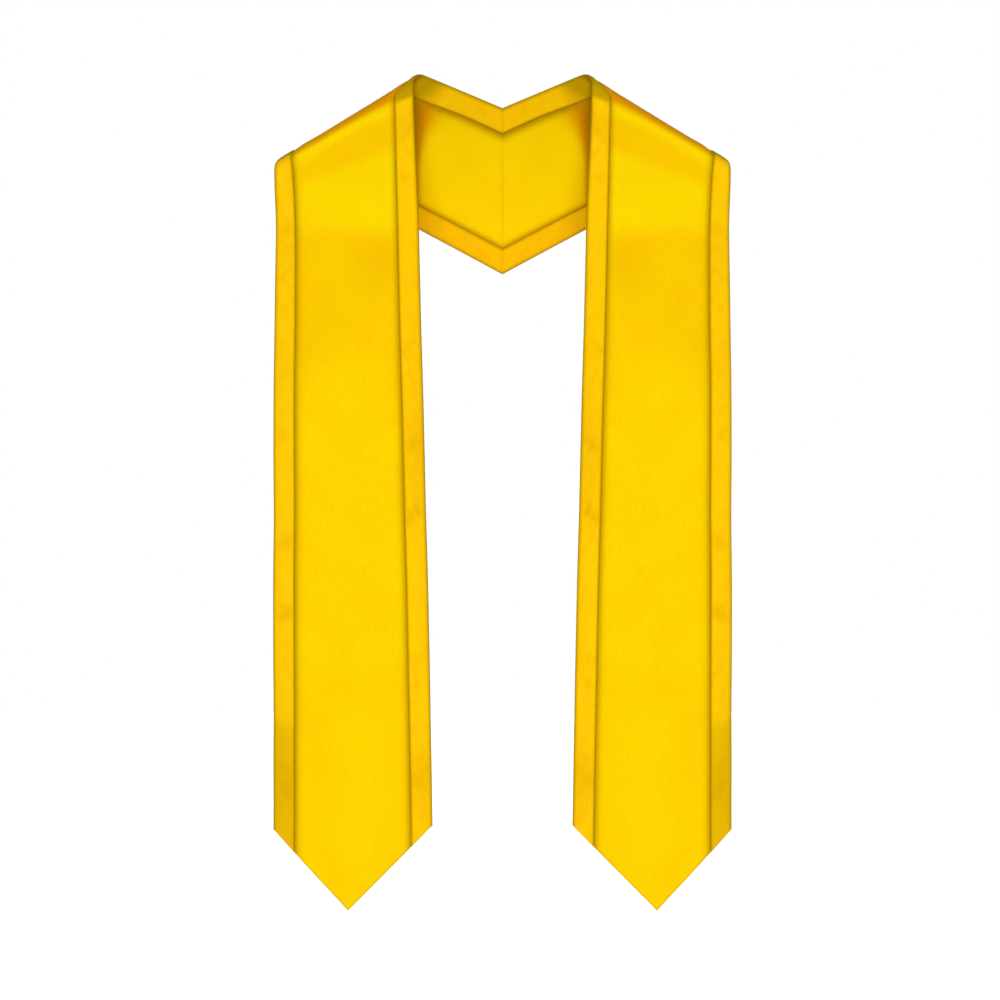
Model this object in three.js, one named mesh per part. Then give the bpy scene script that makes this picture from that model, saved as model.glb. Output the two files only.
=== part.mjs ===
import * as THREE from "three";

// A graduation stole in the form that it has when worn: two satin strips, each hanging down the front,
// folded over a shoulder and run back to a centre seam, with a band folded over each long edge.
// Millimetres and degrees, +Z up, the wearer's front towards -Y, left and right as seen from the front.
// The origin is between the two shoulder folds, level with the underside of their inner ends.

// The strip
const neckWidth = 129.5; // across the strip where it crosses the shoulder
const footWidth = 147.5; // across the strip at its foot
const flareTurn = 60; // how the flare eases towards the foot, from 0 for a straight taper to 90
const frontLength = 706; // from the shoulder fold to the foot, down the strip's inner edge
const pointDepth = 77; // the foot's point below its two corners
const pointShare = 0.53; // where the point lies, as a share of the strip from its inner edge
const cornerDrop = 3.5; // the foot's outer corner below its inner corner

// The cloth
const clothThickness = 1.6;
const bandThickness = 1;
const bandWidth = 20;
const outerBandAtFold = 14.5; // the outer band is taken in where it crosses the shoulder
const takeInRun = 32; // how far from the fold the taking in ends
const clearance = 0.3; // between pieces that touch

// The fold over the shoulder
const neckHalf = 78.6; // from the middle to the inner end of the fold
const shoulderSlope = 31.4; // the fold below level, running outwards
const foldRadius = 10;

// The front panel leans forwards off the shoulder, and then hangs plumb
const frontLean = 9;
const chestRun = 130; // how far the cloth leans
const settleRun = 150; // how far it takes to come plumb
const panelBow = 5; // the middle of the hanging panel in front of its edges
const bowRun = 220; // how far below the fold the bow is full

// The yoke behind the neck leans back, less and less towards its lower edge
const napeLean = 32;
const yokeLean = 25;
const yokeTopReach = 78.5; // from the fold to the seam's upper end, square to the fold over the cloth
const yokeFootReach = 226.5; // the same to the seam's lower end

const satinYellow = "#fbd203";
const satinAmber = "#fec706";

const degree = Math.PI / 180;
const slopeSin = Math.sin(shoulderSlope * degree);
const slopeCos = Math.cos(shoulderSlope * degree);
const foldLength = neckWidth / slopeCos;

// From the middle of the cloth to the inner and the outer face of a band's leg
const bandInside = clothThickness / 2 + clearance;
const bandOutside = bandInside + bandThickness;

// Each side of the fold, from its top down: how far the cloth runs, and how far it turns downwards
const frontDrape = [
  { part: "fold", run: foldRadius * (90 - frontLean) * degree, turn: 90 - frontLean },
  { part: "chest", run: chestRun, turn: 0 },
  { part: "settle", run: settleRun, turn: frontLean },
  { part: "hang", run: Infinity, turn: 0 },
];
const backDrape = [
  { part: "fold", run: foldRadius * (90 - napeLean) * degree, turn: 90 - napeLean },
  { part: "yoke", run: yokeFootReach, turn: napeLean - yokeLean },
  { part: "hang", run: Infinity, turn: 0 },
];
const foldToFront = frontDrape[0].run;
const foldToBack = backDrape[0].run;
const chestEnd = foldToFront + chestRun + settleRun;

// The strip's stretches, from the centre seam to the foot, and the steps of the solid along each
const crowding = 1.7; // how strongly the steps beside the fold crowd towards it
const stretches = [
  { name: "yoke", steps: 10, spacing: (share) => 1 - (1 - share) ** crowding },
  { name: "fold", steps: 12, spacing: (share) => share },
  { name: "chest", steps: 11, spacing: (share) => share ** crowding },
  { name: "hang", steps: 9, spacing: (share) => share },
];
const hemSides = 4; // flats round a band's folded edge

const between = (from, to, share) => from + (to - from) * share;

// Follow one side of the drape: how far out from the fold's top, and how far down, the cloth gets
function walk(drape, distance) {
  let out = 0;
  let drop = 0;
  let heading = 0;
  let left = distance;
  for (const { run, turn } of drape) {
    const step = Math.min(left, run);
    const halfBend = (turn * degree * step) / run / 2;
    const chord = halfBend ? (step * Math.sin(halfBend)) / halfBend : step;
    out += chord * Math.cos(heading + halfBend);
    drop += chord * Math.sin(heading + halfBend);
    heading += 2 * halfBend;
    left -= step;
  }
  return { out, drop };
}

// A point of the flat cloth laid over the right shoulder: "along" runs down the fold line from its inner
// end, and "over" square to it across the cloth, positive to the front and negative to the back
function lay(along, over) {
  const { out, drop } = walk(over < 0 ? backDrape : frontDrape, Math.abs(over));
  return new THREE.Vector3(
    neckHalf + along * slopeCos - drop * slopeSin,
    over < 0 ? out : -out,
    bandOutside - along * slopeSin - drop * slopeCos,
  );
}

// Down the front, how far a line of the strip runs from the fold to the foot
function lengthAt(share) {
  const level = frontLength - share * (neckWidth * Math.tan(shoulderSlope * degree) - cornerDrop);
  const point = share < pointShare ? share / pointShare : (1 - share) / (1 - pointShare);
  return level + pointDepth * point;
}

// How far down the front a station lies on one line of the strip
function reachAt(share, run) {
  if (run < 2) return between(-foldToBack, foldToFront, run - 1) / slopeCos;
  if (run < 3) return between(foldToFront, chestEnd, run - 2) / slopeCos;
  return between(chestEnd / slopeCos, lengthAt(share), run - 3);
}

// The strip flares below the shoulder, and less and less towards the foot
function widthAt(run) {
  const down = Math.max(0, reachAt(0, Math.max(run, 1)) / frontLength);
  const flared = Math.sin(flareTurn * degree * down) / Math.sin(flareTurn * degree);
  return between(neckWidth, footWidth, flared);
}

// The width of the band on the strip's inner edge (edge 0) or outer edge (edge 1)
function bandAt(edge, run) {
  if (edge === 0) return bandWidth;
  const fromFold = run < 1 ? between(yokeFootReach, foldToBack, run) : Math.abs(reachAt(1, run));
  return between(outerBandAtFold, bandWidth, THREE.MathUtils.smoothstep(fromFold, 0, takeInRun));
}

// The middle of the right strip's cloth: share 0 is its inner edge and 1 its outer edge, and run goes from
// 0 at the centre seam over 1 and 2 at the fold's two ends and 3 where the panel is plumb to 4 at the foot
function strip(share, run) {
  const seam = between(yokeTopReach, yokeFootReach, share);
  const over = run < 1 ? -between(seam, foldToBack, run) : reachAt(share, run) * slopeCos;
  if (over < 0) {
    const seamAlong = (clearance / 2 - neckHalf + walk(backDrape, seam).drop * slopeSin) / slopeCos;
    return lay(between(share * foldLength, seamAlong, -over / seam), over);
  }
  const reach = over / slopeCos;
  const spread = (1 - share) * (widthAt(run) - neckWidth);
  const along = share * foldLength + reach * slopeSin - spread * slopeCos;
  const point = lay(along, over + spread * slopeSin);
  const bow = THREE.MathUtils.smoothstep(reach, 0, bowRun) * 4 * share * (1 - share);
  point.y -= panelBow * bow;
  return point;
}

// A point of the strip lifted off the middle of the cloth; a lifted point of the seam's end stays in the
// plane of the seam
function lifted(share, run, lift) {
  const tiny = 0.001;
  const point = strip(share, run);
  const across = strip(share + tiny, run).sub(strip(share - tiny, run));
  const down = strip(share, run + tiny).sub(strip(share, run - tiny));
  const outward = new THREE.Vector3().crossVectors(down, across).normalize();
  point.addScaledVector(outward, lift);
  if (run === 0) point.addScaledVector(down, (clearance / 2 - point.x) / down.x);
  return point;
}

const stations = [0];
stretches.forEach(({ steps, spacing }, stretch) => {
  for (let step = 1; step <= steps; step += 1) stations.push(stretch + spacing(step / steps));
});

// A cloth wall with its two faces given as rows of points, one row a station; side is -1 for the left
// half, and order is -1 where the points of a row run inwards
function wall(face, backFace, side, order) {
  const rows = face.length;
  const columns = face[0].length;
  const points = [...face, ...backFace].flat();
  const positions = points.flatMap((point) => [side * point.x, point.y, point.z]);
  const indices = [];
  const quad = (a, b, c, d) =>
    indices.push(...(side * order > 0 ? [a, b, c, a, c, d] : [a, c, b, a, d, c]));
  const front = (row, column) => row * columns + column;
  const back = (row, column) => (rows + row) * columns + column;
  const rim = (rowA, columnA, rowB, columnB) =>
    quad(front(rowA, columnA), back(rowA, columnA), back(rowB, columnB), front(rowB, columnB));
  for (let row = 0; row + 1 < rows; row += 1) {
    for (let column = 0; column + 1 < columns; column += 1) {
      const right = column + 1;
      quad(front(row, column), front(row + 1, column), front(row + 1, right), front(row, right));
      quad(back(row, column), back(row, right), back(row + 1, right), back(row + 1, column));
    }
    rim(row, 0, row + 1, 0);
    rim(row + 1, columns - 1, row, columns - 1);
  }
  for (let column = 0; column + 1 < columns; column += 1) {
    rim(0, column + 1, 0, column);
    rim(rows - 1, column, rows - 1, column + 1);
  }
  const geometry = new THREE.BufferGeometry();
  geometry.setAttribute("position", new THREE.Float32BufferAttribute(positions, 3));
  geometry.setIndex(indices);
  geometry.computeVertexNormals();
  return geometry;
}

// The yellow strip: both its edges lie inside the folds of the bands
function panel(side) {
  const row = (run, lift) => {
    const hem = (bandOutside + clearance) / widthAt(run);
    const innerSeam = bandAt(0, run) / widthAt(run);
    const outerSeam = 1 - bandAt(1, run) / widthAt(run);
    const inner = [hem, innerSeam, between(innerSeam, pointShare, 0.5)];
    const outer = [between(pointShare, outerSeam, 0.5), outerSeam, 1 - hem];
    return [...inner, pointShare, ...outer].map((share) => lifted(share, run, lift));
  };
  const face = stations.map((run) => row(run, clothThickness / 2));
  const underside = stations.map((run) => row(run, -clothThickness / 2));
  return wall(face, underside, side, 1);
}

// The section of a band, folded round the strip's edge: a leg, the half-round fold and the other leg
function bandSection(width, radius) {
  const section = [{ across: width, lift: radius }];
  for (let flat = 0; flat <= hemSides; flat += 1) {
    const turn = (Math.PI * flat) / hemSides;
    section.push({ across: bandOutside - radius * Math.sin(turn), lift: radius * Math.cos(turn) });
  }
  section.push({ across: width, lift: -radius });
  return section;
}

function band(edge, side) {
  const rows = (radius) =>
    stations.map((run) =>
      bandSection(bandAt(edge, run), radius).map(({ across, lift }) => {
        const share = across / widthAt(run);
        return lifted(edge ? 1 - share : share, run, lift);
      }),
    );
  return wall(rows(bandOutside), rows(bandInside), side, edge ? 1 : -1);
}

const stole = new THREE.Group();
function add(name, geometry, color) {
  const satin = new THREE.MeshStandardMaterial({ color, roughness: 0.45, metalness: 0 });
  const mesh = new THREE.Mesh(geometry, satin);
  mesh.name = name;
  stole.add(mesh);
}
for (const [name, side] of Object.entries({ left: -1, right: 1 })) {
  add(`panel_${name}`, panel(side), satinYellow);
  add(`inner_band_${name}`, band(0, side), satinAmber);
  add(`outer_band_${name}`, band(1, side), satinAmber);
}

export default stole;
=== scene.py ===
import bpy
import numpy as np
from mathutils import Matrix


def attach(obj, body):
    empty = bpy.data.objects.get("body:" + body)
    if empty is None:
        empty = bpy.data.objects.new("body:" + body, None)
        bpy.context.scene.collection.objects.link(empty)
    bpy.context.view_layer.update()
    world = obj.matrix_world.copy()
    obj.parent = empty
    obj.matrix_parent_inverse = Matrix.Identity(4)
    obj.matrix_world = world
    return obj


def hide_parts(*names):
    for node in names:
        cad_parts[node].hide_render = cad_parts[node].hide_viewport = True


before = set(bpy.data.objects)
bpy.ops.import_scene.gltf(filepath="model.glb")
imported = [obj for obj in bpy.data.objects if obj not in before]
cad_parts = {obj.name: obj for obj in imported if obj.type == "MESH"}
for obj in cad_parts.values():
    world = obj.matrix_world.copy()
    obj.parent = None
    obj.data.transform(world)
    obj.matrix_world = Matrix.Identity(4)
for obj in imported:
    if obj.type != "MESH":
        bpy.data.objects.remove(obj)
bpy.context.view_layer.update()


# The satin strips
# Each half of a graduation stole is one long strip of polyester satin. It hangs down the front to a
# pointed foot, is folded over the shoulder and runs on behind the neck to the centre-back seam. It is sewn
# double and turned right side out, so that it is a soft, slightly full sheet with no raw edge.

neck_width = 0.1295  # across the strip where it crosses the shoulder
foot_width = 0.1475
flare_turn = np.radians(60)  # how the flare eases towards the foot, from 0 for a straight taper to 90
front_length = 0.706  # from the shoulder fold to the foot, down the strip's inner edge
point_depth = 0.077
point_share = 0.53  # where the point lies, as a share of the strip from its inner edge
corner_drop = 0.0035  # the foot's outer corner below its inner corner
cloth_thickness = 0.0016
neck_half = 0.0786  # from the middle to the inner end of the fold
shoulder_slope = np.radians(31.4)
fold_radius = 0.010
front_lean = np.radians(9)
chest_run = 0.130  # how far down the cloth the lean lasts
settle_run = 0.150  # how far it takes to come plumb
panel_bow = 0.005  # the middle of the hanging panel in front of its edges
bow_run = 0.220
nape_lean = np.radians(32)
yoke_lean = np.radians(25)
yoke_top_reach = 0.0785  # over the cloth from the fold to the centre seam's upper end
yoke_foot_reach = 0.2265  # and to its lower end
fold_lift = 0.0021  # the middle of the cloth at the fold's inner end above the origin

slope_sin = np.sin(shoulder_slope)
slope_cos = np.cos(shoulder_slope)
fold_length = neck_width / slope_cos

# Each side of the fold, from its top down: how far the cloth runs, and how far it turns downwards
fold_to_front = fold_radius * (np.pi / 2 - front_lean)
fold_to_back = fold_radius * (np.pi / 2 - nape_lean)
front_drape = [
    (fold_to_front, np.pi / 2 - front_lean),
    (chest_run, 0),
    (settle_run, front_lean),
    (np.inf, 0),
]
back_drape = [
    (fold_to_back, np.pi / 2 - nape_lean),
    (yoke_foot_reach, nape_lean - yoke_lean),
    (np.inf, 0),
]
chest_end = fold_to_front + chest_run + settle_run


def between(start, end, share):
    """The value that lies the given share of the way from start to end."""
    return start + (end - start) * share


def ease(value, start, end):
    """0 before start and 1 after end, with 3 t squared less 2 t cubed between them."""
    t = np.clip((value - start) / (end - start), 0, 1)
    return t * t * (3 - 2 * t)


def bell(distance, width):
    """1 in the middle, falling off as a bell curve, to 37 % at the given distance on either side."""
    return np.exp(-((distance / width) ** 2))


def walk(drape, distance):
    """How far out from the fold's top, and how far down, the cloth gets along one side of the drape.

    A stretch turns evenly, so its chord is its length times the sine of half its bend over half its bend,
    and the chord heads half a bend below the heading at which the stretch starts."""
    out = np.zeros_like(distance)
    drop = np.zeros_like(distance)
    heading = np.zeros_like(distance)
    left = distance
    for run, turn in drape:
        step = np.minimum(left, run)
        half_bend = turn * step / run / 2
        chord = step * np.sinc(half_bend / np.pi)
        out = out + chord * np.cos(heading + half_bend)
        drop = drop + chord * np.sin(heading + half_bend)
        heading = heading + 2 * half_bend
        left = left - step
    return out, drop


def lay(along, over):
    """A point of the flat cloth laid over the right shoulder: along runs down the fold line from its inner
    end, and over runs square to it across the cloth, positive to the front and negative to the back."""
    back_out, back_drop = walk(back_drape, np.abs(over))
    front_out, front_drop = walk(front_drape, np.abs(over))
    out = np.where(over < 0, back_out, -front_out)
    drop = np.where(over < 0, back_drop, front_drop)
    x = neck_half + along * slope_cos - drop * slope_sin
    z = fold_lift - along * slope_sin - drop * slope_cos
    return np.stack([x, out, z], axis=-1)


def length_at(share):
    """How far a line of the strip runs down the front: level, less the slope of the shoulder, plus the
    straight-sided point of the foot."""
    level = front_length - share * (neck_width * np.tan(shoulder_slope) - corner_drop)
    point = np.minimum(share / point_share, (1 - share) / (1 - point_share))
    return level + point_depth * point


def reach_at(share, run):
    """How far down the front a station lies: run 1 to 2 is the fold, 2 to 3 the chest and 3 to 4 the
    hanging panel, each shared out evenly."""
    fold = between(-fold_to_back, fold_to_front, run - 1) / slope_cos
    chest = between(fold_to_front, chest_end, run - 2) / slope_cos
    hang = between(chest_end / slope_cos, length_at(share), run - 3)
    return np.where(run < 2, fold, np.where(run < 3, chest, hang))


def width_at(run):
    """The strip's width: it flares from the neck to the foot as the sine of a growing angle."""
    down = np.maximum(0, reach_at(0, np.maximum(run, 1)) / front_length)
    return between(neck_width, foot_width, np.sin(flare_turn * down) / np.sin(flare_turn))


band_width = 0.020
outer_band_at_fold = 0.0130  # the outer band is taken in where it crosses the shoulder
take_in_run = 0.045  # the taking in has died out to a third so far from the fold
take_in_round = 0.008  # and is rounded over so much of the fold itself
inner_band_at_fold = 0.0050  # the inner band's seam runs in towards the neck over the top of the fold
mitre_run = (0.0005, 0.0155)  # how far from the fold's top it starts to run out again, and is back
nape_fullness = 0.0036  # the inner band is wider just behind the fold
nape_fullness_fading = (0.012, 0.058)


def band_at(edge, run):
    """A band's width. The inner one is even, but for the fold, where its seam runs in towards the neck and
    out again. The outer one is taken in where it crosses the shoulder and gets its full width back as an
    exponential of the distance from the fold, rounded at the fold."""
    if edge == 0:
        behind = between(yoke_top_reach, fold_to_back / slope_cos, run)
        reach = np.where(run < 1, -behind, reach_at(0.0, run))
        fuller = nape_fullness * (reach < 0) * (1 - ease(-reach, *nape_fullness_fading))
        return between(inner_band_at_fold, band_width + fuller, ease(np.abs(reach), *mitre_run))
    yoke = between(yoke_foot_reach, fold_to_back, run)
    distance = np.where(run < 1, yoke, np.abs(reach_at(1.0, run)))
    rounded = np.hypot(distance, take_in_round) - take_in_round
    return between(band_width, outer_band_at_fold, np.exp(-rounded / take_in_run))


# How far the front panel's inner edge is drawn off the neck, and how far its outer edge spreads over the
# end of the shoulder, each with the reach at which it is full and the stretch over which it fades
neck_hollow = 0.0021
neck_hollow_full = 0.012
neck_hollow_fading = (0.030, 0.160)
corner_spread = 0.0023
corner_spread_full = 0.010
corner_spread_fading = (0.015, 0.075)


def drawn_outwards(share, run, reach):
    """How far the edges of the front panel are drawn outwards below the fold: eased in and out down the
    front, and across a band falling evenly to nothing at its seam."""
    width = width_at(run)
    at_neck = np.maximum(1 - share * width / band_at(0, run), 0)
    at_corner = np.maximum(1 - (1 - share) * width / band_at(1, run), 0)
    hollow = ease(reach, 0, neck_hollow_full) * (1 - ease(reach, *neck_hollow_fading))
    spread = ease(reach, 0, corner_spread_full) * (1 - ease(reach, *corner_spread_fading))
    return neck_hollow * at_neck * hollow + corner_spread * at_corner * spread


def smooth_strip(share, run):
    """The middle of the right strip's cloth. Share is 0 at its inner edge and 1 at its outer edge. Run is 0
    at the centre seam, 1 and 2 at the fold's two ends, 3 where the panel is plumb and 4 at the foot. The
    yoke's lines run straight over the flat cloth from the fold to the seam. The front's hang plumb in the
    picture plane, spread inwards by the flare and bowed forwards as a parabola across."""
    seam = between(yoke_top_reach, yoke_foot_reach, share)
    reach = reach_at(share, run)
    over = np.where(run < 1, -between(seam, fold_to_back, run), reach * slope_cos)
    seam_drop = walk(back_drape, seam)[1]
    seam_along = (seam_drop * slope_sin - neck_half) / slope_cos
    behind = lay(between(share * fold_length, seam_along, -over / seam), over)
    spread = (1 - share) * (width_at(run) - neck_width) - drawn_outwards(share, run, reach)
    along = share * fold_length + reach * slope_sin - spread * slope_cos
    ahead = lay(along, over + spread * slope_sin)
    ahead[..., 1] -= panel_bow * ease(reach, 0, bow_run) * 4 * share * (1 - share)
    return np.where((over < 0)[..., None], behind, ahead)


def turned(share, run):
    """The directions down and across the strip, from points close by on either side, and the one square to
    both, out of its right side, from their cross product."""
    tiny = 0.001
    across = smooth_strip(share + tiny, run) - smooth_strip(share - tiny, run)
    down = smooth_strip(share, run + tiny) - smooth_strip(share, run - tiny)
    outward = np.cross(down, across)
    return down, across, outward / np.linalg.norm(outward, axis=-1, keepdims=True)


def from_fold(share, run):
    """How far a point lies from the top of the shoulder fold, measured over the cloth."""
    yoke = between(between(yoke_top_reach, yoke_foot_reach, share), fold_to_back, run)
    return np.where(run < 1, yoke, np.abs(reach_at(share, run)))


# Soft waves down the hanging cloth: length, height and how far they lean across the strip
waves = [
    (0.232, 0.0010, 0.35),
    (0.147, 0.0006, -0.60),
    (0.089, 0.0003, 0.90),
]
wave_start = (0.03, 0.20)  # how far below the fold the waves begin, and where they have their full height
# Puckers that the sewing draws in beside each seam: length and height
puckers = [(0.0131, 0.00013), (0.0083, 0.00009)]
pucker_reach = 0.007
pucker_slant = 4  # radians by which a pucker's wave is ahead at the strip's other edge
pucker_swell = 0.35  # the share by which the puckers grow and shrink again
pucker_swell_length = 0.071
seam_calm = 0.1  # the puckers die out over so much of the run at the centre seam


def seam_distance(share, run):
    """How far a point is from the nearer band's seam, positive towards the strip's middle."""
    width = width_at(run)
    inner = share * width - band_at(0, run)
    outer = (1 - share) * width - band_at(1, run)
    return np.minimum(inner, outer)


def ripple(share, run):
    """How far the cloth stands off its smooth form: sines for the waves, which are only on the front panel
    below the shoulder, and short sines for the puckers, which die out away from the band's seams and at
    the centre seam."""
    reach = np.where(run < 1, -from_fold(share, run), reach_at(share, run))
    lifted = np.zeros_like(reach)
    for length, height, lean in waves:
        lifted = lifted + height * np.sin(2 * np.pi * (reach / length + lean * share))
    lifted = lifted * ease(reach, *wave_start)
    near = bell(seam_distance(share, run), pucker_reach)
    swell = 1 - pucker_swell + pucker_swell * np.sin(2 * np.pi * reach / pucker_swell_length)
    for length, height in puckers:
        pucker = height * np.sin(2 * np.pi * reach / length + pucker_slant * share)
        lifted = lifted + pucker * near * swell * ease(np.abs(run), 0, seam_calm)
    return lifted


def cloth(share, run, lift):
    """A point of the strip lifted off the middle of the cloth. At the centre seam it is slid down the
    strip, so that it stays in the plane of the seam."""
    share, run, lift = np.broadcast_arrays(share, run, lift)
    down, _, outward = turned(share, run)
    point = smooth_strip(share, run) + outward * (lift + ripple(share, run))[..., None]
    slide = np.where(run == 0, -point[..., 0] / down[..., 0], 0)
    return point + down * slide[..., None]


seam_crowding = 0.6  # how strongly the rows crowd at the yoke's two ends, from 0 to 1
foot_crowding = 0.25


def stations(yoke, fold, chest, hang):
    """The runs of the rows from the centre seam to the foot, with the given steps in each stretch. The
    rows crowd near the centre seam, the fold and the foot, where the cloth turns or ends."""
    to_fold = np.linspace(0, 1, yoke + 1)
    to_foot = np.linspace(0, 1, hang + 1)
    return np.concatenate([
        between(to_fold, (1 - np.cos(np.pi * to_fold)) / 2, seam_crowding)[:-1],
        1 + np.linspace(0, 1, fold + 1)[:-1],
        2 + np.linspace(0, 1, chest + 1)[:-1],
        3 + between(to_foot, 1 - (1 - to_foot) ** 2, foot_crowding),
    ])


rows = stations(yoke=110, fold=40, chest=130, hang=170)[:, None]


def wall(name, face, underside, painted_shades, side, order):
    """A closed sheet between two grids of points, a row a station. Side is -1 for the left half, which is the
    right one mirrored, and order is -1 where the points of a row run inwards. The UV map is the flat cloth in
    metres: u across the strip and v down it. The painted shades are named, each a grid for both faces or a
    pair of grids."""
    count, columns = face.shape[:2]
    points = np.concatenate([face, underside]).reshape(-1, 3) * (side, 1, 1)
    grid = np.arange(2 * count * columns).reshape(2, count, columns)
    front, back = grid

    def quads(a, b, c, d):
        """Faces from four grids of corners, taken in turn."""
        return np.stack([a, b, c, d], axis=-1).reshape(-1, 4)

    faces = np.concatenate([
        quads(front[:-1, :-1], front[1:, :-1], front[1:, 1:], front[:-1, 1:]),
        quads(back[:-1, :-1], back[:-1, 1:], back[1:, 1:], back[1:, :-1]),
        quads(front[:-1, 0], back[:-1, 0], back[1:, 0], front[1:, 0]),
        quads(front[1:, -1], back[1:, -1], back[:-1, -1], front[:-1, -1]),
        quads(front[0, 1:], back[0, 1:], back[0, :-1], front[0, :-1]),
        quads(front[-1, :-1], back[-1, :-1], back[-1, 1:], front[-1, 1:]),
    ])
    if side * order < 0:
        faces = faces[:, ::-1]
    mesh = bpy.data.meshes.new(name)
    mesh.from_pydata(points.tolist(), [], faces.tolist())
    mesh.polygons.foreach_set("use_smooth", np.ones(len(faces), bool))
    down = np.linalg.norm(np.diff(face, axis=0), axis=-1)
    across = np.linalg.norm(np.diff(face, axis=1), axis=-1)
    v = np.concatenate([np.zeros((1, columns)), np.cumsum(down, axis=0)])
    u = np.concatenate([np.zeros((count, 1)), np.cumsum(across, axis=1)], axis=1)
    flat = np.tile(np.stack([u, v], axis=-1).reshape(-1, 2), (2, 1))
    corners = np.empty(len(mesh.loops), np.int32)
    mesh.loops.foreach_get("vertex_index", corners)
    mesh.uv_layers.new(name="cloth").data.foreach_set("uv", flat[corners].ravel())
    for tone, values in painted_shades.items():
        shade = mesh.attributes.new(tone, "FLOAT", "POINT")
        both = np.broadcast_to(values, grid.shape).astype(np.float32)
        shade.data.foreach_set("value", both.ravel())
    mesh.update()
    piece = bpy.data.objects.new(name, mesh)
    bpy.context.scene.collection.objects.link(piece)
    return piece


def linear(colour):
    """An sRGB hex colour as linear red, green, blue and a full alpha: dark channels over 12.92, and the
    others less their offset of 0.055, raised to 2.4."""
    channels = [int(colour[place:place + 2], 16) / 255 for place in (1, 3, 5)]
    return (*[c / 12.92 if c <= 0.04045 else ((c + 0.055) / 1.055) ** 2.4 for c in channels], 1)


def add(tree, kind, inputs=None, **settings):
    """Adds a node of a kind with its settings. An input's value is a constant or another node's socket."""
    node = tree.nodes.new(kind)
    for name, value in settings.items():
        setattr(node, name, value)
    for name, value in (inputs or {}).items():
        if isinstance(value, bpy.types.NodeSocket):
            tree.links.new(value, node.inputs[name])
        else:
            node.inputs[name].default_value = value
    return node


# A Mix node's colour sockets have the same names as its number sockets, so they go by their place
mix_below, mix_above, mix_result = 6, 7, 2

thread_spacing = 0.0011  # a real satin has some 60 ends to the centimetre: drawn coarse enough to show
float_length = 0.012  # how long a slub runs down the cloth
thread_height = 0.00007
slub_tone = 0.10  # how much deeper or paler a slub is
gloss = 0.06  # the share of the light that the floats throw back in the colour of the cloth


def satin(name, colour, deep, seam, fold, mottle_size, mottle_depth):
    """Woven polyester satin: long warp floats that lie side by side, so that it has a soft gloss of its own
    colour, brightest where it faces the light. Its colour is also painted: the deep colour for random mottle
    and for painted sheen, and the fold and seam colours for painted shade in its folds and seams."""
    material = bpy.data.materials.new(name)
    material.use_nodes = True
    tree = material.node_tree
    tree.nodes.clear()
    flat = add(tree, "ShaderNodeUVMap", uv_map="cloth").outputs["UV"]
    threads = add(tree, "ShaderNodeMapping", {
        "Vector": flat,
        "Scale": (1 / thread_spacing, 1 / float_length, 1),
    }).outputs["Vector"]
    slubs = add(tree, "ShaderNodeTexNoise", {"Vector": threads, "Scale": 1, "Detail": 2}).outputs["Fac"]
    mottle = add(tree, "ShaderNodeTexNoise", {
        "Vector": flat,
        "Scale": 1 / mottle_size,
        "Detail": 3,
        "Roughness": 0.45,
    }).outputs["Fac"]
    patches = add(tree, "ShaderNodeMapRange", {
        "Value": mottle,
        "From Min": 0.4,
        "From Max": 0.7,
        "To Min": 0,
        "To Max": mottle_depth,
    }).outputs["Result"]
    # Painted sheen: bands and patches where the satin is painted a shade deeper, added to the random mottle
    sheen = add(tree, "ShaderNodeAttribute", attribute_name="painted_sheen_deep_colour").outputs["Fac"]
    patches = add(tree, "ShaderNodeMath", {0: patches, 1: sheen}).outputs["Value"]
    streaks = add(tree, "ShaderNodeMapRange", {
        "Value": slubs,
        "From Min": 0.35,
        "From Max": 0.65,
        "To Min": -slub_tone,
        "To Max": slub_tone,
    }).outputs["Result"]
    patches = add(tree, "ShaderNodeMath", {0: patches, 1: streaks}, use_clamp=True).outputs["Value"]
    # Painted shade, mixed in with the fold colour and with the seam colour
    painted_fold_colour_shade = add(tree, "ShaderNodeAttribute", attribute_name="painted_shade_fold_colour").outputs["Fac"]
    painted_seam_colour_shade = add(tree, "ShaderNodeAttribute", attribute_name="painted_shade_seam_colour").outputs["Fac"]
    surface = linear(colour)
    for tone, amount in [(deep, patches), (fold, painted_fold_colour_shade), (seam, painted_seam_colour_shade)]:
        inputs = {"Factor": amount, mix_below: surface, mix_above: linear(tone)}
        surface = add(tree, "ShaderNodeMix", inputs, data_type="RGBA").outputs[mix_result]
    roughness = add(tree, "ShaderNodeMapRange", {
        "Value": slubs,
        "From Min": 0.3,
        "From Max": 0.7,
        "To Min": 0.46,
        "To Max": 0.56,
    }).outputs["Result"]
    weave = add(tree, "ShaderNodeBump", {"Strength": 0.5, "Distance": thread_height, "Height": slubs})
    shader = add(tree, "ShaderNodeBsdfPrincipled", {
        "Base Color": surface,
        "Metallic": gloss,
        "Roughness": roughness,
        "IOR": 1.45,
        "Specular IOR Level": 0.1,
        "Specular Tint": linear(colour),
        "Anisotropic": 0.4,
        "Normal": weave.outputs["Normal"],
        "Tangent": add(tree, "ShaderNodeTangent", direction_type="UV_MAP", uv_map="cloth").outputs["Tangent"],
    })
    output = add(tree, "ShaderNodeOutputMaterial")
    tree.links.new(shader.outputs["BSDF"], output.inputs["Surface"])
    return material


# The deep colour is mixed in for random mottle and for painted sheen, and the seam and fold colours for
# painted shade
yellow_satin = satin(
    "polyester_satin_yellow",
    colour="#fcd803",
    deep="#f9be02",
    seam="#b08600",
    fold="#dc7a00",
    mottle_size=0.055,
    mottle_depth=0.25,
)

ditch_depth = 0.00055  # the seam pinches the strip by so much on each face
ditch_reach = 0.0030
fullness = 0.0005  # the turned strip is fullest beside its seams
fullness_place = 0.009
foot_roll = 0.0006  # the turned edge at the foot is rounded over so much of it
foot_roundness = 0.9  # 1 would bring the two faces together there
taut_reach = 0.018  # over the shoulder the cloth is taut, and most of the ditch is drawn out of it
ditch_drawn_out = 0.7


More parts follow.
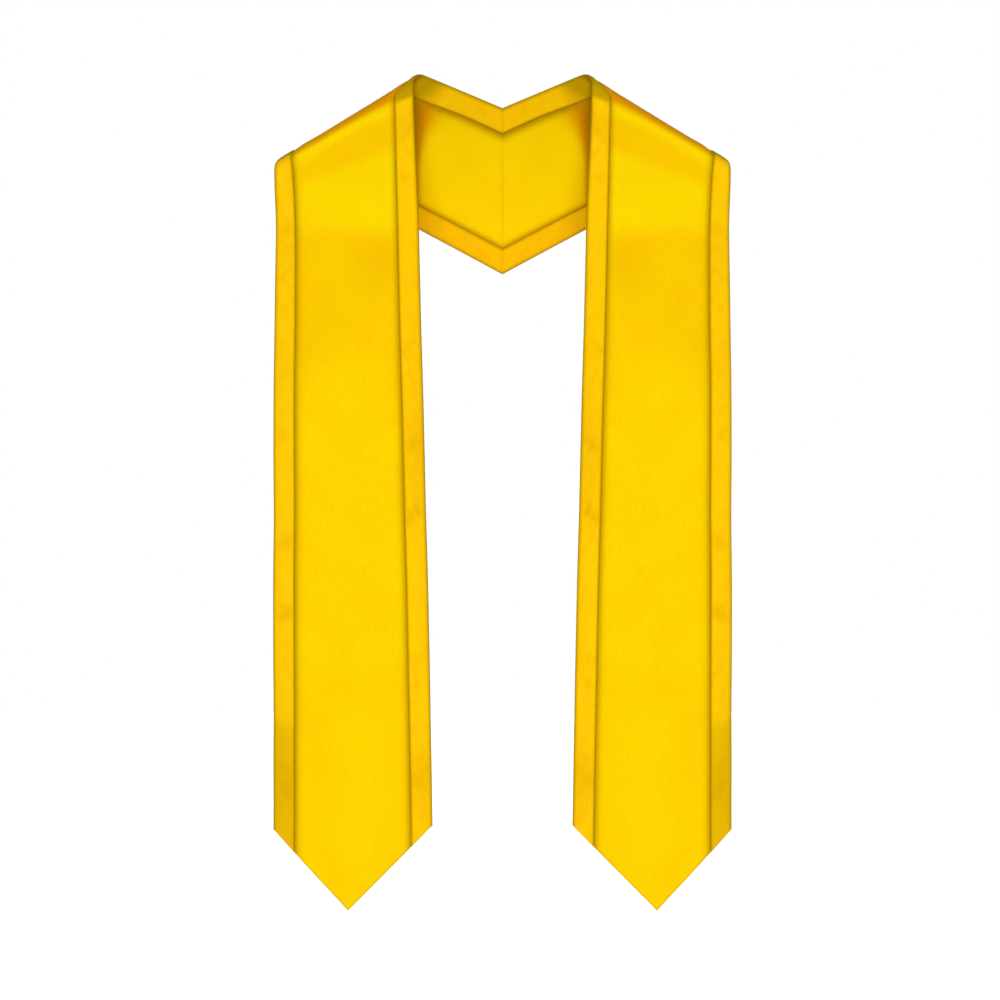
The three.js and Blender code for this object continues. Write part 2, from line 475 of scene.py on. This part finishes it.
def strip_half_thickness(share, run):
    """Half the strip's thickness: full beside the seams, pinched in them but less so over the shoulder, and
    rounded at the foot as an ellipse."""
    seam = seam_distance(share, run)
    slack = 1 - ditch_drawn_out * bell(from_fold(share, run), taut_reach)
    pinch = ditch_depth * bell(seam, ditch_reach) * slack
    full = fullness * bell(seam - fullness_place, fullness_place) * ease(seam, 0, fullness_place)
    to_foot = np.clip((length_at(share) - reach_at(share, run)) / foot_roll, 0, 1)
    rounded = np.where(run > 3, np.sqrt(1 - foot_roundness * (1 - to_foot) ** 2), 1)
    return (cloth_thickness / 2 - pinch + full) * rounded


strip_inset = 0.0024  # the strip's own edge lies so far inside the fold of a band
hem_steps = 6  # the strip's columns under each band
half_steps = 23  # and in each half of what shows
column_crowding = 1.8
column_evenness = 0.15


def strip_columns():
    """The shares of the strip's columns for each row. They crowd beside the seams."""
    width = width_at(rows)
    hem = strip_inset / width
    inner = band_at(0, rows) / width
    outer = 1 - band_at(1, rows) / width
    under = np.linspace(0, 1, hem_steps + 1)[None, :]
    even = np.linspace(0, 1, half_steps + 1)[None, :]
    half = between(even**column_crowding, even, column_evenness)
    return np.concatenate([
        between(hem, inner, under[:, :-1]),
        between(inner, point_share, half[:, :-1]),
        between(point_share, outer, (1 - half[:, ::-1])),
        between(outer, 1 - hem, under[:, 1:]),
    ], axis=1)


shares = strip_columns()
half_thickness = strip_half_thickness(shares, rows)
strip_face = cloth(shares, rows, half_thickness)
strip_underside = cloth(shares, rows, -half_thickness)

seam_shade = 0.7  # how deep the painted shade is in the bands' seams, from 0 to 1
seam_shade_reach = 0.0031
# The painted shade along the centre-back seam
centre_seam_shade = 0.12
centre_seam_reach = 0.0022


def centre_seam_painted_shade(points):
    """A faint painted shade along the centre-back seam, a bell curve of the distance from it."""
    return centre_seam_shade * bell(points[..., 0], centre_seam_reach)


# The painted sheen, a band of satin painted a shade deeper below the shoulder fold: where it starts and ends
# down the cloth, how softly, and how deep it is, at the strip's inner and outer edge
sheen_start = (0.0300, 0.0240)
sheen_start_shares = (0.1, 0.5)  # the start changes between these shares of the strip
sheen_start_soft = 0.0045
sheen_end = (0.068, 0.039)
sheen_end_soft = 0.009
sheen_depth = (0.70, 0.46)

# The painted sheen from the chest downwards, where the satin is painted a shade deeper: how far its line lies
# below the origin at the inner and the outer edge, how softly it starts, how deep it is, and between which
# levels a part of it fades out
chest_line = (0.149, 0.142)
chest_soft = 0.011
chest_depth = 0.56
chest_fading = 0.35
fading_start = (0.250, 0.235)
fading_end = (0.380, 0.270)


def strip_painted_sheen(points):
    """Painted sheen: where the satin in front is painted a shade deeper, in a band below the shoulder fold
    that widens towards the neck, and from a nearly level line across the chest downwards. Both have soft
    ends, and the second is deepest in its first stretch, which fades out sooner at the outer edge."""
    reach = np.where(rows < 1, -1.0, reach_at(shares, rows))
    level = np.where(rows < 1, -1.0, -points[..., 2])
    start = between(*sheen_start, ease(shares, *sheen_start_shares))
    end = between(*sheen_end, shares)
    band = ease(reach, start - sheen_start_soft, start + sheen_start_soft)
    band = band * (1 - ease(reach, end - sheen_end_soft, end + sheen_end_soft))
    line = between(*chest_line, shares)
    chest = ease(level, line - chest_soft, line + chest_soft)
    fading = ease(level, between(*fading_start, shares), between(*fading_end, shares))
    return band * between(*sheen_depth, shares) + chest_depth * chest * (1 - chest_fading * fading)


# The painted shade in the wedge behind each front panel: how far below the origin it starts and how tall it
# is, how far from the middle its shades are full at its top and foot, and then for each of its two shades the
# reach at its foot and top, and the strength at its top and foot
wedge_top = 0.020
wedge_height = 0.064
wedge_edge = (0.0819, 0.0810)
wedge_reach = (0.0024, 0.0300)
wedge_strength = (1.0, 0.6)
closing_reach = (0.0020, 0.0110)
closing_strength = (1.0, 0.6)


def corner_painted_shade(points):
    """Behind the neck the strip's inner face lies in the wedge behind the front panel, and has a painted
    shade in deep orange beside it and all over it behind the panel's edge: a bell curve of the distance from
    a line near the front panel's edge, which narrows as the square of the way up from the wedge's foot. The
    second shade, an exponential of the distance, is a darker painted shade where the wedge closes."""
    down = np.clip((-points[..., 2] - wedge_top) / wedge_height, 0, 1)
    widening = (1 - down) ** 2
    beside = np.maximum(between(*wedge_edge, down) - np.abs(points[..., 0]), 0)
    wedge = bell(beside, between(*wedge_reach, widening)) * between(*wedge_strength, down**2)
    closing = np.exp(-beside / between(*closing_reach, widening)) * between(*closing_strength, down)
    return np.where(rows < 1, wedge, 0), np.where(rows < 1, closing, 0)


# The painted shade in deep orange over the shoulder fold, where the cloth turns away from the light
orange_depth = (0.76, 0.60)  # over the top of the fold, at the strip's inner and outer edge
orange_end = (0.009, 0.0165)  # from the fold's top, where the orange starts to fade and where it ends
orange_outer = 0.85  # the share of both distances that holds far out, where at the neck it is 1 more
orange_fading = 0.35  # the share of the strip's width over which that 1 dies out to a third


def shoulder_painted_shade():
    """Over the top of the shoulder fold the satin has a painted shade in deep orange, eased out on both
    sides, and furthest down beside the neck by an exponential across the strip."""
    distance = from_fold(shares, rows) / (orange_outer + np.exp(-shares / orange_fading))
    return between(*orange_depth, shares) * (1 - ease(distance, *orange_end))


# The painted shadow that the inner band throws on the strip's inner face behind the neck
nape_shade = 0.94
nape_shade_reach = 0.0052


def nape_painted_shadow():
    """Behind the neck the strip has a painted shadow right below the inner band's seam, on its inner face."""
    below_seam = np.maximum(shares * width_at(rows) - band_at(0, rows), 0)
    return nape_shade * bell(below_seam, nape_shade_reach) * (rows < 1)


# The strip's painted shade and sheen, mixed into the satin's colour
shoulder = shoulder_painted_shade()
painted_seam_shade = seam_shade * bell(np.maximum(seam_distance(shares, rows), 0), seam_shade_reach)
painted_seam_shade = np.maximum(painted_seam_shade, centre_seam_painted_shade(strip_face))
wedge, closing = corner_painted_shade(strip_underside)
strip_painted_shades = {
    "painted_shade_seam_colour": np.stack([painted_seam_shade, np.maximum(painted_seam_shade, np.maximum(nape_painted_shadow(), closing))]),
    "painted_shade_fold_colour": np.stack([shoulder, np.maximum(shoulder, wedge)]),
    "painted_sheen_deep_colour": strip_painted_sheen(strip_face),
}
for half, side in {"left": -1, "right": 1}.items():
    panel = wall(f"satin_strip_{half}", strip_face, strip_underside, strip_painted_shades, side, 1)
    panel.data.materials.append(yellow_satin)
    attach(panel, "root")
    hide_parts(f"panel_{half}")


# The edge bands
# A band of amber satin is folded in half lengthways over each long edge of a strip and sewn down through
# all the layers in one row, so that both faces show the same width. It follows the strip all round: down
# the front, over the shoulder and to the centre-back seam.

# The deep colour is mixed in for random mottle and for painted sheen, and the seam and fold colours for
# painted shade
amber_satin = satin(
    "polyester_satin_amber",
    colour="#ffca07",
    deep="#eeb406",
    seam="#a98200",
    fold="#a88700",
    mottle_size=0.016,
    mottle_depth=0.35,
)

band_outside = 0.0015  # from the middle of the cloth to the outer face of the folded band
band_inside = 0.0010
band_roll = 0.0014  # the turned-in edge of a band, rounded down to the seam
band_edge = 0.00042  # its lift off the middle of the cloth at the seam
band_edge_inside = 0.00027
band_crown = 0.00022
leg_steps = 14  # the columns of each leg of the fold, and how strongly they crowd towards the seam
leg_crowding = 1.6
turn_steps = 10  # the flats round the folded edge
creases = 26
crease_rng = np.random.default_rng(7)
crease_places = crease_rng.uniform(-0.15, 0.75, creases)
crease_widths = crease_rng.uniform(0.0025, 0.007, creases)
crease_heights = crease_rng.uniform(-0.00030, 0.00022, creases)
crease_leans = crease_rng.uniform(-0.5, 0.5, creases)
outer_crease_shift = 0.021  # the outer band's creases lie further down than the inner one's


def band_ripple(across, run, edge):
    """Short creases straight or slanting across a band, each a bell curve down the strip's length."""
    reach = np.where(run < 1, -from_fold(float(edge), run), reach_at(float(edge), run))
    raised = np.zeros(np.broadcast(across, reach).shape)
    for place, width, height, lean in zip(crease_places, crease_widths, crease_heights, crease_leans):
        raised = raised + height * bell(reach - place - edge * outer_crease_shift - lean * across, width)
    return raised * np.sin(np.pi * np.clip(across / band_width, 0, 1))


def band_section(edge, radius, edge_lift, crown):
    """A band's section in each row, as distances across from the strip's edge and lifts off its middle:
    an elliptical roll up from the seam, a crowned leg, the half-round fold, and the same on the back."""
    width = band_at(edge, rows)
    crowd = np.linspace(0, 1, leg_steps + 1)[None, :] ** leg_crowding
    leg = crowd * (width - band_outside)
    rise = np.sqrt(1 - (1 - np.clip(leg / band_roll, 0, 1)) ** 2)
    leg_lift = edge_lift + (radius - edge_lift) * rise + crown * np.sin(np.pi * crowd)
    leg_lift = leg_lift + band_ripple(width - leg, rows, edge) * rise
    turn = np.pi * np.linspace(0, 1, turn_steps + 1)[None, 1:-1] + 0 * rows
    across = [width - leg, band_outside - radius * np.sin(turn), (width - leg)[:, ::-1]]
    lift = [leg_lift, radius * np.cos(turn), -leg_lift[:, ::-1]]
    return np.concatenate(across, axis=1), np.concatenate(lift, axis=1)


# Over the shoulder a band has painted shade. Behind, the shade comes in between two distances from the fold.
# In front it reaches so far down at the strip's edge, and so much less far for each metre across, first for
# the inner band and then for the outer one
shoulder_depth = 0.75
shoulder_behind = (-0.034, -0.016)
shoulder_ahead = [(0.024, 0.28), (0.007, 0)]
shoulder_soft = 0.004

# Low down the outer band has painted shade, darkest in one patch
foot_depth = 0.26
foot_start = (0.520, 0.535)
foot_patch_depth = 0.14
foot_patch_place = 0.585
foot_patch_spread = 0.050

# The patches of painted shade in the inner and the outer band, where the satin is painted a shade deeper:
# place, which is less than nothing behind the neck, spread and strength
band_shades = [
    [(0.047, 0.014, 0.45), (0.345, 0.080, 0.35), (0.655, 0.040, 0.45)],
    [(-0.150, 0.070, 0.35)],
]
# Painted shade along a band's folded edge and beside its seam: strength and reach
folded_edge_shade = 0.85
folded_edge_reach = 0.00185
band_seam_shade = 0.75
band_seam_reach = 0.0016
crease_shade = 0.6  # the painted shade of a crease, full where it is as deep as crease_full
crease_full = 0.0003


def band_painted_shades(edge, across, points):
    """Where a band has painted shade: in a hair's width beside its seam and on its folded edge, over the
    shoulder, in its creases and in patches, and down the last of the outer band."""
    width = band_at(edge, rows)
    reach = np.where(rows < 1, -from_fold(float(edge), rows), reach_at(float(edge), rows))
    reach = np.broadcast_to(reach, across.shape)
    furthest, less = shoulder_ahead[edge]
    ahead = furthest - less * across
    shoulder = ease(reach, *shoulder_behind) * (1 - ease(reach, ahead, ahead + shoulder_soft))
    foot = foot_depth * ease(reach, *foot_start)
    foot = foot + foot_patch_depth * bell(reach - foot_patch_place, foot_patch_spread)
    # Painted shade on the folded edge and beside the seam
    painted_edge_shade = folded_edge_shade * bell(across, folded_edge_reach)
    seam = band_seam_shade * bell(width - across, band_seam_reach)
    painted_patches = sum(strength * bell(reach - place, spread) for place, spread, strength in band_shades[edge])
    painted_crease_shade = np.clip(-band_ripple(across, rows, edge) / crease_full, 0, 1)
    return {
        "painted_shade_seam_colour": np.maximum(seam + painted_edge_shade, centre_seam_painted_shade(points)),
        "painted_shade_fold_colour": np.maximum(shoulder_depth * shoulder, edge * foot),
        "painted_sheen_deep_colour": painted_crease_shade * crease_shade + painted_patches,
    }


for edge, place in enumerate(["inner", "outer"]):
    across, lift = band_section(edge, band_outside, band_edge, band_crown)
    across_inside, lift_inside = band_section(edge, band_inside, band_edge_inside, 0)
    share = across / width_at(rows)
    share_inside = across_inside / width_at(rows)
    if edge:
        share = 1 - share
        share_inside = 1 - share_inside
    outside = cloth(share, rows, lift)
    inside = cloth(share_inside, rows, lift_inside)
    painted_shades = band_painted_shades(edge, across, outside)
    for half, side in {"left": -1, "right": 1}.items():
        band = wall(f"{place}_edge_band_{half}", outside, inside, painted_shades, side, 1 if edge else -1)
        band.data.materials.append(amber_satin)
        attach(band, "root")
        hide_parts(f"{place}_band_{half}")


# The stitching
# The bands are sewn on by machine with a lockstitch in dark gold polyester thread, close in against their
# turned edges. The thread shows as a row of short stitches in the seam's ditch on both faces.

stitch_length = 0.0026
stitch_gap = 0.0006
thread_radius = 0.00017
stitch_inset = 0.00025  # the row of stitches beside the band's turned edge
stitch_bed = 0.00005  # a stitch's ends below the face of the cloth
stitch_rise = 0.00022  # its middle above its ends
thread_end = 0.35  # the share of its thickness that a thread shows where it goes down into the cloth
stitch_rings = 5
stitch_sides = 6
twist_length = 0.0012  # drawn as long as a few turns of the thread, so that it shows


def sewing_thread(name, colour, painted_highlight):
    """Spun polyester sewing thread: a fine, tight, slightly shiny twist, darker than the cloth beside it,
    with a paler painted highlight in noise patches where the twist would catch the light."""
    material = bpy.data.materials.new(name)
    material.use_nodes = True
    tree = material.node_tree
    shader = tree.nodes["Principled BSDF"]
    place = add(tree, "ShaderNodeTexCoord").outputs["Object"]
    twist = add(tree, "ShaderNodeTexNoise", {"Vector": place, "Scale": 1 / twist_length, "Detail": 1})
    inputs = {"Factor": twist.outputs["Fac"], mix_below: linear(colour), mix_above: linear(painted_highlight)}
    mix = add(tree, "ShaderNodeMix", inputs, data_type="RGBA")
    tree.links.new(mix.outputs[mix_result], shader.inputs["Base Color"])
    shader.inputs["Roughness"].default_value = 0.5
    shader.inputs["Specular IOR Level"].default_value = 0.1
    return material


gold_thread = sewing_thread("spun_polyester_thread_gold", colour="#9a7602", painted_highlight="#c99c08")
seam_run = np.linspace(0.004, 3.998, 6000)  # the runs of a seam's fine line, which stops short of both ends


def seam_line(edge):
    """The long fine line just beside a band's seam: the shares and lengths of its points."""
    width = width_at(seam_run)
    across = band_at(edge, seam_run) + stitch_inset
    share = 1 - across / width if edge else across / width
    line = cloth(share, seam_run, 0.0)
    steps = np.linalg.norm(np.diff(line, axis=0), axis=1)
    return share, np.concatenate([[0], np.cumsum(steps)])


def stitch_row(edge, face):
    """Stitches down a seam on one face, as an array of rings: stitch, ring, point of the ring. A stitch is
    a round thread that comes up out of the cloth, lies along the seam and goes down again, so its middle
    line is lifted by the square root of the sine of its length, and its radius shrinks to its ends."""
    line_share, line_length = seam_line(edge)
    starts = np.arange(0, line_length[-1] - stitch_length, stitch_length + stitch_gap)
    share_of_stitch = np.linspace(0, 1, stitch_rings)
    distance = (starts[:, None] + stitch_length * share_of_stitch[None, :]).ravel()
    arch = np.tile(np.sqrt(np.sin(np.pi * share_of_stitch).clip(0)), len(starts))
    share = np.interp(distance, line_length, line_share)
    run = np.interp(distance, line_length, seam_run)
    lift = strip_half_thickness(share, run) - stitch_bed + stitch_rise * arch
    middle = cloth(share, run, face * lift)
    _, across, outward = turned(share, run)
    across = across / np.linalg.norm(across, axis=-1, keepdims=True)
    radius = thread_radius * between(thread_end, 1, arch)
    turn = 2 * np.pi * np.arange(stitch_sides) / stitch_sides
    ring = np.cos(turn)[:, None] * across[:, None, :] + np.sin(turn)[:, None] * outward[:, None, :]
    points = middle[:, None, :] + radius[:, None, None] * ring
    return points.reshape(len(starts), stitch_rings, stitch_sides, 3)


def stitching(name, stitches, side):
    """One mesh of all the stitches: quads round each thread between its rings, and a cap on each end."""
    count = len(stitches)
    points = stitches.reshape(-1, 3) * (side, 1, 1)
    grid = np.arange(len(points)).reshape(count, stitch_rings, stitch_sides)
    beside = np.roll(grid, -1, axis=2)
    tube = np.stack([grid[:, :-1], beside[:, :-1], beside[:, 1:], grid[:, 1:]], axis=-1).reshape(-1, 4)
    caps = np.concatenate([grid[:, 0, ::-1], grid[:, -1]])
    if side < 0:
        tube = tube[:, ::-1]
        caps = caps[:, ::-1]
    mesh = bpy.data.meshes.new(name)
    mesh.from_pydata(points.tolist(), [], tube.tolist() + caps.tolist())
    mesh.polygons.foreach_set("use_smooth", np.ones(len(tube) + len(caps), bool))
    mesh.update()
    piece = bpy.data.objects.new(name, mesh)
    bpy.context.scene.collection.objects.link(piece)
    return piece


for edge, place in enumerate(["inner", "outer"]):
    stitches = np.concatenate([stitch_row(edge, 1), stitch_row(edge, -1)])
    for half, side in {"left": -1, "right": 1}.items():
        thread = stitching(f"{place}_seam_stitches_{half}", stitches, side)
        thread.data.materials.append(gold_thread)
        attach(thread, "root")


# The stage, the light and the camera
# The stole keeps the form that it has when worn, high enough over a white floor to be seen from below too.
# A wide soft light comes from the front and a weaker one from behind, in a white room.

floor_depth = 2.3
floor_size = 60.0
pale_reach = 10.0  # the floor is palest grey under the stole, and white from here outwards
floor_glow_far = 0.75  # how much light of its own it has far off
floor_glow_near = 0.22  # and right under the stole
bpy.ops.mesh.primitive_plane_add(size=floor_size, location=(0, 0, -floor_depth))
floor = bpy.context.object
floor.name = "floor"
floor.visible_diffuse = False
floor.visible_glossy = False
floor.visible_shadow = False

# Matt white paper, lit and glowing with a light of its own, so evenly that it runs into the white behind it
paper = bpy.data.materials.new("white_seamless_paper")
paper.use_nodes = True
paper_tree = paper.node_tree
place = add(paper_tree, "ShaderNodeTexCoord").outputs["Object"]
spot = add(paper_tree, "ShaderNodeMapping", {
    "Vector": place,
    "Scale": [1 / pale_reach] * 3,
}).outputs["Vector"]
pool = add(paper_tree, "ShaderNodeTexGradient", {"Vector": spot}, gradient_type="SPHERICAL").outputs["Fac"]
glow = add(paper_tree, "ShaderNodeMapRange", {
    "Value": pool,
    "To Min": floor_glow_far,
    "To Max": floor_glow_near,
}).outputs["Result"]
sheet = paper_tree.nodes["Principled BSDF"]
sheet.inputs["Base Color"].default_value = linear("#f6f6f4")
sheet.inputs["Roughness"].default_value = 0.9
sheet.inputs["Emission Color"].default_value = (1, 1, 1, 1)
paper_tree.links.new(glow, sheet.inputs["Emission Strength"])
floor.data.materials.append(paper)

world = bpy.data.worlds.new("white_room")
world.use_nodes = True
bpy.context.scene.world = world
room = world.node_tree
room.nodes.clear()
room_light = 0.31  # what the room's walls throw on the stole, where the white that is seen of them is 1
seen = add(room, "ShaderNodeLightPath").outputs["Is Camera Ray"]
level = add(room, "ShaderNodeMapRange", {"Value": seen, "To Min": room_light, "To Max": 1.0})
background = add(room, "ShaderNodeBackground", {"Color": (1, 1, 1, 1), "Strength": level.outputs["Result"]})
world_output = add(room, "ShaderNodeOutputWorld")
room.links.new(background.outputs["Background"], world_output.inputs["Surface"])


def soft_light(name, strength, softness, tilt, turn):
    """A broad light from far off: softness is the angle that it fills, and tilt and turn aim it."""
    lamp = bpy.data.lights.new(name, "SUN")
    lamp.energy = strength
    lamp.angle = np.radians(softness)
    holder = bpy.data.objects.new(name, lamp)
    holder.rotation_euler = (np.radians(tilt), 0, np.radians(turn))
    bpy.context.scene.collection.objects.link(holder)


soft_light("front_light", strength=2.12, softness=30, tilt=88, turn=0)
soft_light("back_light", strength=2.0, softness=40, tilt=86, turn=180)

bpy.context.scene.view_settings.view_transform = "Standard"
view_distance = 3.5
metres_per_pixel = 0.0009375
picture_size = 1000
origin_row = 77.5  # where the origin lies in the picture
middle_column = 502.5
lens_sensor = 0.036
camera = bpy.data.objects.new("camera", bpy.data.cameras.new("camera"))
camera.data.sensor_width = lens_sensor * 1000
camera.data.lens = view_distance / (metres_per_pixel * picture_size) * lens_sensor * 1000
camera.location = (
    (picture_size / 2 - middle_column) * metres_per_pixel,
    -view_distance,
    (origin_row - picture_size / 2) * metres_per_pixel,
)
camera.rotation_euler = (np.pi / 2, 0, 0)
bpy.context.scene.collection.objects.link(camera)
bpy.context.scene.camera = camera
